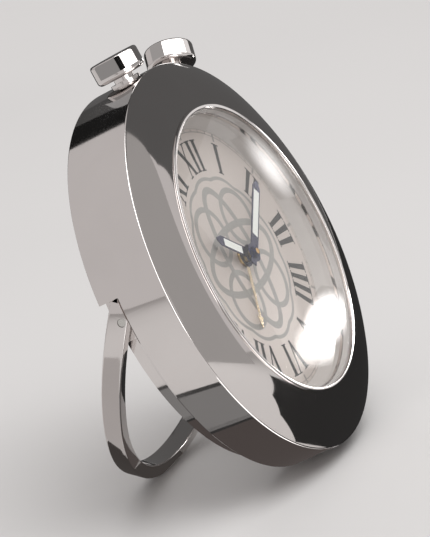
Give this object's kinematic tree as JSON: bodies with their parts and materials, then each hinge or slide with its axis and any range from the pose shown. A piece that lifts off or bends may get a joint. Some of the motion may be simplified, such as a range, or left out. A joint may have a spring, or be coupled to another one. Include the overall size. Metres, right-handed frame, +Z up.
{
  "type": "travel alarm clock",
  "caption": "Round polished travel alarm clock with a domed bezel, two crowns at the top and a hoop stand that folds out of the back of the case.",
  "frame": {"origin": "on the table, centred under the whole clock as it stands open on its hoop", "axes": "+Z up, +X to the clock's 3 o'clock side, -Y to the side that the dial faces; the dial leans back by about 17 degrees"},
  "size_m": [0.08, 0.042, 0.0838],
  "materials": {
    "polished_steel": "mirror polished",
    "satin_steel": "satin",
    "crystal_glass": "clear, domed",
    "seal_rubber": "matte",
    "grey_flange": "satin grey",
    "silvered_dial": "silvered, slightly rosy",
    "holder_plastic": "matte",
    "plate_resin": "matte",
    "nickel": "nickel plated",
    "board_green": "solder mask",
    "chip_black": "matte",
    "copper": "enamelled copper wire",
    "soft_iron": "satin",
    "brass": "satin",
    "blued_steel": "deep blue, glossy",
    "lume_white": "matte",
    "gilt": "polished"
  },
  "bodies": {
    "case": {"case_band": "polished_steel", "bezel": "polished_steel", "crystal": "crystal_glass", "crystal_gasket": "seal_rubber", "flange_ring": "grey_flange", "dial": "silvered_dial", "movement_holder": "holder_plastic", "main_plate": "plate_resin", "train_bridge": "nickel", "bridge_screws": "nickel", "circuit_board": "board_green", "driver_chip": "chip_black", "quartz_can": "nickel", "coil_winding": "copper", "coil_core": "soft_iron", "stator": "soft_iron", "battery": "nickel", "battery_strap": "nickel", "battery_leaf": "nickel", "buzzer": "brass", "back_cover": "satin_steel", "back_gasket": "seal_rubber", "cover_screws": "satin_steel", "time_tube": "polished_steel", "alarm_tube": "polished_steel", "hinge_pins": "polished_steel", "hinge_washers": "brass"},
    "stand": {"hoop_stand": "polished_steel"},
    "time_puller": {"time_slide": "nickel"},
    "time_setter": {"time_crown": "polished_steel", "time_crown_seal": "seal_rubber", "time_stem": "nickel"},
    "alarm_puller": {"alarm_slide": "nickel"},
    "alarm_setter": {"alarm_crown": "polished_steel", "alarm_crown_seal": "seal_rubber", "alarm_stem": "nickel"},
    "minutes": {"minute_hand": "blued_steel", "minute_lume": "lume_white", "hand_cap": "gilt", "cannon_pinion": "brass"},
    "hours": {"hour_hand": "blued_steel", "hour_lume": "lume_white", "hour_wheel": "brass"},
    "minute_wheel": {"minute_wheel": "brass"},
    "alarm_time": {"alarm_hand": "gilt", "alarm_wheel": "brass"},
    "alarm_idler": {"alarm_idler": "brass"},
    "rotor": {"rotor": "soft_iron"},
    "step_wheel": {"step_wheel": "holder_plastic"},
    "seconds_wheel": {"seconds_wheel": "brass"},
    "third_wheel": {"third_wheel": "brass"},
    "centre_wheel": {"centre_wheel": "brass"}
  },
  "joints": [
    {"name": "stand_fold", "type": "hinge", "parent": "case", "child": "stand", "pos_m": [0, 0.00307, 0.04146], "axis": [-1, 0, 0], "range_deg": [0, 38.3]},
    {"name": "time_crown_pull", "type": "slide", "parent": "case", "child": "time_puller", "axis": [0, 0.3044, 0.9526], "range_m": [0, 0.0018]},
    {"name": "time_crown_turn", "type": "hinge", "parent": "time_puller", "child": "time_setter", "pos_m": [0, 0.0096, 0.07716], "axis": [0, 0.3044, 0.9526], "continuous": true},
    {"name": "alarm_crown_pull", "type": "slide", "parent": "case", "child": "alarm_puller", "axis": [0.5, 0.2636, 0.8249], "range_m": [-0.0018, 0]},
    {"name": "alarm_crown_turn", "type": "hinge", "parent": "alarm_puller", "child": "alarm_setter", "pos_m": [0.02, 0.00797, 0.07206], "axis": [0.5, 0.2636, 0.8249], "continuous": true},
    {"name": "minute_turn", "type": "hinge", "parent": "case", "child": "minutes", "pos_m": [0, -0.00829, 0.04089], "axis": [0, 0.9526, -0.3044], "continuous": true},
    {"name": "hour_turn", "type": "hinge", "parent": "case", "child": "hours", "pos_m": [0, -0.00734, 0.04058], "axis": [0, 0.9526, -0.3044], "continuous": true},
    {"name": "minute_wheel_turn", "type": "hinge", "parent": "case", "child": "minute_wheel", "pos_m": [-0.00205, -0.0062, 0.0343], "axis": [0, 0.9526, -0.3044], "continuous": true},
    {"name": "alarm_turn", "type": "hinge", "parent": "case", "child": "alarm_time", "pos_m": [0, -0.00638, 0.04028], "axis": [0, 0.9526, -0.3044], "continuous": true},
    {"name": "alarm_idler_turn", "type": "hinge", "parent": "case", "child": "alarm_idler", "pos_m": [0.00425, -0.00319, 0.04699], "axis": [0, 0.9526, -0.3044], "continuous": true},
    {"name": "rotor_spin", "type": "hinge", "parent": "case", "child": "rotor", "pos_m": [-0.01005, -0.00251, 0.02942], "axis": [0, 0.9526, -0.3044], "continuous": true},
    {"name": "step_spin", "type": "hinge", "parent": "case", "child": "step_wheel", "pos_m": [-0.0112, -0.00155, 0.03243], "axis": [0, 0.9526, -0.3044], "continuous": true},
    {"name": "seconds_spin", "type": "hinge", "parent": "case", "child": "seconds_wheel", "pos_m": [-0.00952, -0.00066, 0.0352], "axis": [0, 0.9526, -0.3044], "continuous": true},
    {"name": "third_spin", "type": "hinge", "parent": "case", "child": "third_wheel", "pos_m": [-0.00442, -0.00066, 0.0352], "axis": [0, 0.9526, -0.3044], "continuous": true},
    {"name": "centre_spin", "type": "hinge", "parent": "case", "child": "centre_wheel", "pos_m": [0, 0.00028, 0.03815], "axis": [0, 0.9526, -0.3044], "continuous": true}
  ],
  "couplings": [
    {"joint": "hour_turn", "follows": "minute_turn", "ratio": 0.083333},
    {"joint": "minute_wheel_turn", "follows": "minute_turn", "ratio": -0.33333},
    {"joint": "alarm_idler_turn", "follows": "alarm_turn", "ratio": -2.4},
    {"joint": "step_spin", "follows": "rotor_spin", "ratio": -0.16667},
    {"joint": "seconds_spin", "follows": "rotor_spin", "ratio": 0.033333},
    {"joint": "third_spin", "follows": "rotor_spin", "ratio": -0.0044444},
    {"joint": "centre_spin", "follows": "rotor_spin", "ratio": 0.00055556}
  ]
}
